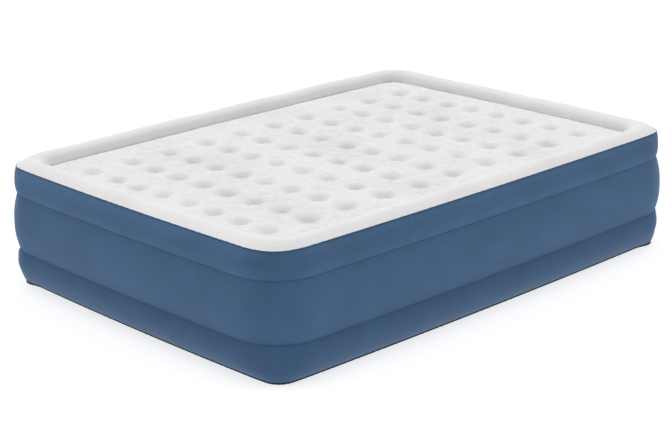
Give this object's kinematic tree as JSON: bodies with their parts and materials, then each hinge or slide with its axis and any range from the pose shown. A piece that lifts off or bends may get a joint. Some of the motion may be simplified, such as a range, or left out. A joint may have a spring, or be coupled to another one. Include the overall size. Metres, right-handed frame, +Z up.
{
  "type": "air mattress",
  "caption": "Raised queen-size air bed with a dimpled white flocked top inside a raised comfort rim, banded blue flocked walls and a pump built into the head end.",
  "frame": {"origin": "on the floor under the middle of the bed", "axes": "+X along the bed towards the head end, where the pump is; +Y across the bed; +Z up"},
  "size_m": [2.03, 1.52, 0.46],
  "materials": {
    "white_flock": "white flocked sheet, soft and matte",
    "blue_flock": "blue-grey flocked sheet, soft and matte",
    "navy_pvc": "plain dark sheet, lightly textured",
    "inner_pvc": "plain translucent inner sheet",
    "housing_plastic": "moulded housing plastic, fine texture",
    "fascia_plastic": "moulded fascia plastic, satin",
    "knob_plastic": "light grey control plastic",
    "lens_plastic": "tinted clear plastic",
    "black_rubber": "soft black rubber",
    "steel": "bright steel",
    "motor_steel": "rolled steel can",
    "circuit_board": "green circuit board",
    "copper_coil": "wound copper wire"
  },
  "bodies": {
    "mattress": {"air_duct": "housing_plastic", "base_beam_1": "inner_pvc", "base_beam_2": "inner_pvc", "bottom_edge_weld": "navy_pvc", "bottom_sheet": "navy_pvc", "coil_beam_row_01": "inner_pvc", "coil_beam_row_02": "inner_pvc", "coil_beam_row_03": "inner_pvc", "coil_beam_row_04": "inner_pvc", "coil_beam_row_05": "inner_pvc", "coil_beam_row_06": "inner_pvc", "coil_beam_row_07": "inner_pvc", "coil_beam_row_08": "inner_pvc", "coil_beam_row_09": "inner_pvc", "coil_beam_row_10": "inner_pvc", "comfort_rim": "white_flock", "control_board": "circuit_board", "cord_door_pin": "steel", "cord_inlet_gland": "black_rubber", "cord_tray": "housing_plastic", "drum_housing": "housing_plastic", "fascia_screw_1": "steel", "fascia_screw_2": "steel", "fascia_screw_3": "steel", "fascia_screw_4": "steel", "flap_pin": "steel", "intake_grille": "fascia_plastic", "lower_waist_sheet": "inner_pvc", "lower_wall_band": "blue_flock", "middle_beam_1": "inner_pvc", "middle_beam_2": "inner_pvc", "middle_wall_band": "blue_flock", "motor_bracket": "housing_plastic", "motor_can": "motor_steel", "outlet_valve_seat": "housing_plastic", "pump_collar": "navy_pvc", "pump_fascia": "fascia_plastic", "pump_tub": "housing_plastic", "rim_foot_weld": "white_flock", "rocker_frame": "black_rubber", "sleep_surface": "white_flock", "status_lens": "lens_plastic", "top_edge_weld": "white_flock", "topup_bellows": "black_rubber", "topup_coil": "copper_coil", "topup_hose": "inner_pvc", "topup_pump_case": "housing_plastic", "upper_waist_sheet": "inner_pvc", "upper_wall_band": "blue_flock"},
    "control_dial": {"control_dial": "knob_plastic", "changeover_drum": "knob_plastic"},
    "power_rocker": {"power_rocker": "lens_plastic"},
    "comfort_button_plush": {"comfort_button_plush": "knob_plastic"},
    "comfort_button_medium": {"comfort_button_medium": "knob_plastic"},
    "comfort_button_firm": {"comfort_button_firm": "knob_plastic"},
    "cord_door": {"cord_door": "fascia_plastic"},
    "fan": {"impeller": "knob_plastic", "motor_shaft": "steel"},
    "outlet_valve_flap": {"outlet_valve_flap": "black_rubber"},
    "topup_pump_arm": {"topup_pump_arm": "knob_plastic"}
  },
  "joints": [
    {"name": "dial_turn", "type": "hinge", "parent": "mattress", "child": "control_dial", "pos_m": [1, 0.357, 0.244], "axis": [1, 0, 0], "range_deg": [-60, 60]},
    {"name": "rocker_tilt", "type": "hinge", "parent": "mattress", "child": "power_rocker", "pos_m": [0.9978, 0.424, 0.284], "axis": [0, -1, 0], "range_deg": [0, 12]},
    {"name": "comfort_button_plush_press", "type": "slide", "parent": "mattress", "child": "comfort_button_plush", "axis": [-1, 0, 0], "range_m": [0, 0.0015], "stiffness_N_per_m": 300, "springref_m": -0.002},
    {"name": "comfort_button_medium_press", "type": "slide", "parent": "mattress", "child": "comfort_button_medium", "axis": [-1, 0, 0], "range_m": [0, 0.0015], "stiffness_N_per_m": 300, "springref_m": -0.002},
    {"name": "comfort_button_firm_press", "type": "slide", "parent": "mattress", "child": "comfort_button_firm", "axis": [-1, 0, 0], "range_m": [0, 0.0015], "stiffness_N_per_m": 300, "springref_m": -0.002},
    {"name": "cord_door_hinge", "type": "hinge", "parent": "mattress", "child": "cord_door", "pos_m": [0.9978, 0.45, 0.2391], "axis": [0, -1, 0], "range_deg": [0, 100]},
    {"name": "fan_spin", "type": "hinge", "parent": "mattress", "child": "fan", "pos_m": [0.915, 0.357, 0.244], "axis": [1, 0, 0], "continuous": true},
    {"name": "outlet_flap_hinge", "type": "hinge", "parent": "mattress", "child": "outlet_valve_flap", "pos_m": [0.866, 0.357, 0.2785], "axis": [0, 1, 0], "range_deg": [0, 35]},
    {"name": "topup_arm_swing", "type": "hinge", "parent": "mattress", "child": "topup_pump_arm", "pos_m": [0.91, 0.473, 0.284], "axis": [0, 0, 1], "range_deg": [-2, 2], "stiffness_Nm_per_rad": 0.5}
  ]
}
